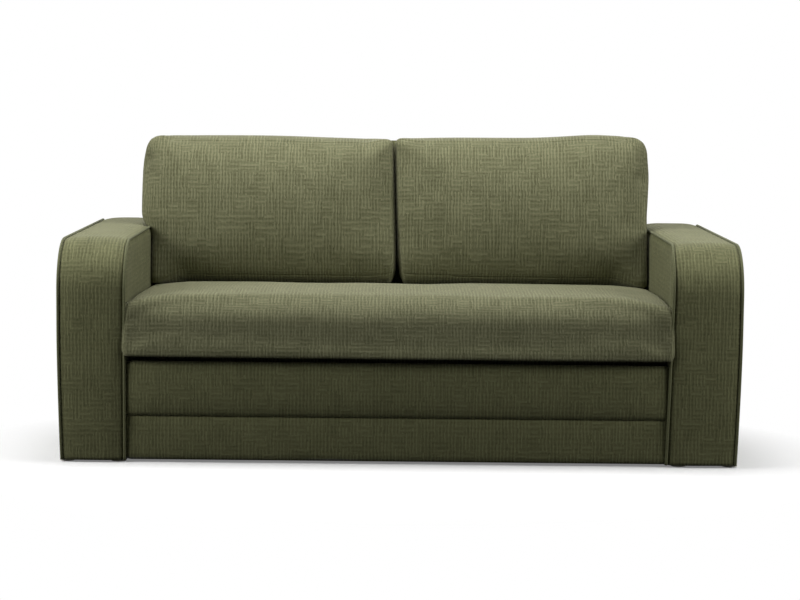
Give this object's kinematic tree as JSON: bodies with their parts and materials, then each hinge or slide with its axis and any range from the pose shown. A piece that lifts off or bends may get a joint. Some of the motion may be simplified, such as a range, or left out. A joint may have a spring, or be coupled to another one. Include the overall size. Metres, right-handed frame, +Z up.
{
  "type": "sofa bed",
  "caption": "Upholstered sofa bed with padded arms and loose-look cushions; the seat and back roll forward over the front rail to open a folded bed.",
  "frame": {"origin": "on the floor, under the middle of the overall box", "axes": "+X across the sofa, to the right when it is seen from the front; -Y towards the front; +Z up"},
  "size_m": [1.8, 0.95, 0.846],
  "materials": {
    "timber": "plywood and softwood, unfinished",
    "upholstery": "olive jacquard weave with short ribs, over foam",
    "piping": "olive cloth piping",
    "cushion_cover": "olive jacquard weave with short ribs, over foam and fibre",
    "lining": "black non-woven cloth",
    "glide": "pale moulded plastic",
    "zinc_steel": "zinc plated",
    "painted_tube": "dark grey powder coat",
    "webbing": "black elastic webbing",
    "ticking": "off-white mattress ticking"
  },
  "bodies": {
    "base": {"left_arm_frame": "timber", "right_arm_frame": "timber", "left_arm_band": "upholstery", "right_arm_band": "upholstery", "left_arm_inner_pad": "upholstery", "right_arm_inner_pad": "upholstery", "left_arm_outer_pad": "upholstery", "right_arm_outer_pad": "upholstery", "left_arm_piping": "piping", "right_arm_piping": "piping", "outer_back_board": "timber", "outer_back_cover": "upholstery", "front_board": "timber", "upper_front_pad": "upholstery", "lower_front_pad": "upholstery", "rear_rail": "timber", "dust_cover": "lining", "glides": "glide", "left_side_plate": "zinc_steel", "right_side_plate": "zinc_steel", "plate_screws": "zinc_steel", "crank_pivots": "zinc_steel"},
    "rear_cranks": {"rear_crank_left": "zinc_steel", "rear_crank_right": "zinc_steel", "torsion_bar": "zinc_steel"},
    "front_cranks": {"front_crank_left": "zinc_steel", "front_crank_right": "zinc_steel", "front_crank_pins": "zinc_steel"},
    "head_section": {"head_tube_left": "painted_tube", "head_tube_right": "painted_tube", "head_tube_front": "painted_tube", "head_tube_rear": "painted_tube", "head_straps": "webbing", "head_mattress": "ticking", "fold_pins": "zinc_steel"},
    "seat_section": {"seat_tube_left": "painted_tube", "seat_tube_right": "painted_tube", "seat_tube_front": "painted_tube", "seat_tube_rear": "painted_tube", "seat_straps": "webbing", "middle_mattress": "ticking", "seat_deck": "timber", "seat_cushion": "cushion_cover", "mid_leg_left": "zinc_steel", "mid_leg_right": "zinc_steel", "back_hinge_pins": "zinc_steel"},
    "back_section": {"back_tube_left": "painted_tube", "back_tube_right": "painted_tube", "back_tube_bottom": "painted_tube", "back_tube_top": "painted_tube", "back_straps": "webbing", "foot_mattress": "ticking", "back_lining": "upholstery", "back_cushion_left": "cushion_cover", "back_cushion_right": "cushion_cover", "foot_pocket": "upholstery", "pull_strap": "upholstery", "foot_leg_pins": "zinc_steel"},
    "foot_legs": {"foot_leg_left": "zinc_steel", "foot_leg_right": "zinc_steel"}
  },
  "joints": [
    {"name": "bed_opening", "type": "hinge", "parent": "base", "child": "rear_cranks", "pos_m": [0, 0.00317, 0.1216], "axis": [1, 0, 0], "range_deg": [0, 120]},
    {"name": "front_crank_turn", "type": "hinge", "parent": "base", "child": "front_cranks", "pos_m": [0, -0.32703, 0.1216], "axis": [1, 0, 0], "range_deg": [0, 120]},
    {"name": "head_lift", "type": "hinge", "parent": "rear_cranks", "child": "head_section", "pos_m": [0, 0.1501, 0.038], "axis": [1, 0, 0], "range_deg": [-120, 0]},
    {"name": "seat_fold", "type": "hinge", "parent": "head_section", "child": "seat_section", "pos_m": [0, -0.405, 0.13], "axis": [1, 0, 0], "range_deg": [0, 180]},
    {"name": "back_unfold", "type": "hinge", "parent": "seat_section", "child": "back_section", "pos_m": [0, 0.245, 0.222], "axis": [1, 0, 0], "range_deg": [-82, 0]},
    {"name": "foot_leg_swing", "type": "hinge", "parent": "back_section", "child": "foot_legs", "pos_m": [0, 0.32713, 0.80639], "axis": [1, 0, 0], "range_deg": [-90, 0]}
  ],
  "couplings": [
    {"joint": "front_crank_turn", "follows": "bed_opening", "ratio": 1},
    {"joint": "head_lift", "follows": "bed_opening", "ratio": -1},
    {"joint": "seat_fold", "follows": "bed_opening", "ratio": 1.5},
    {"joint": "back_unfold", "follows": "bed_opening", "ratio": -0.68333},
    {"joint": "foot_leg_swing", "follows": "bed_opening", "ratio": -0.75}
  ]
}
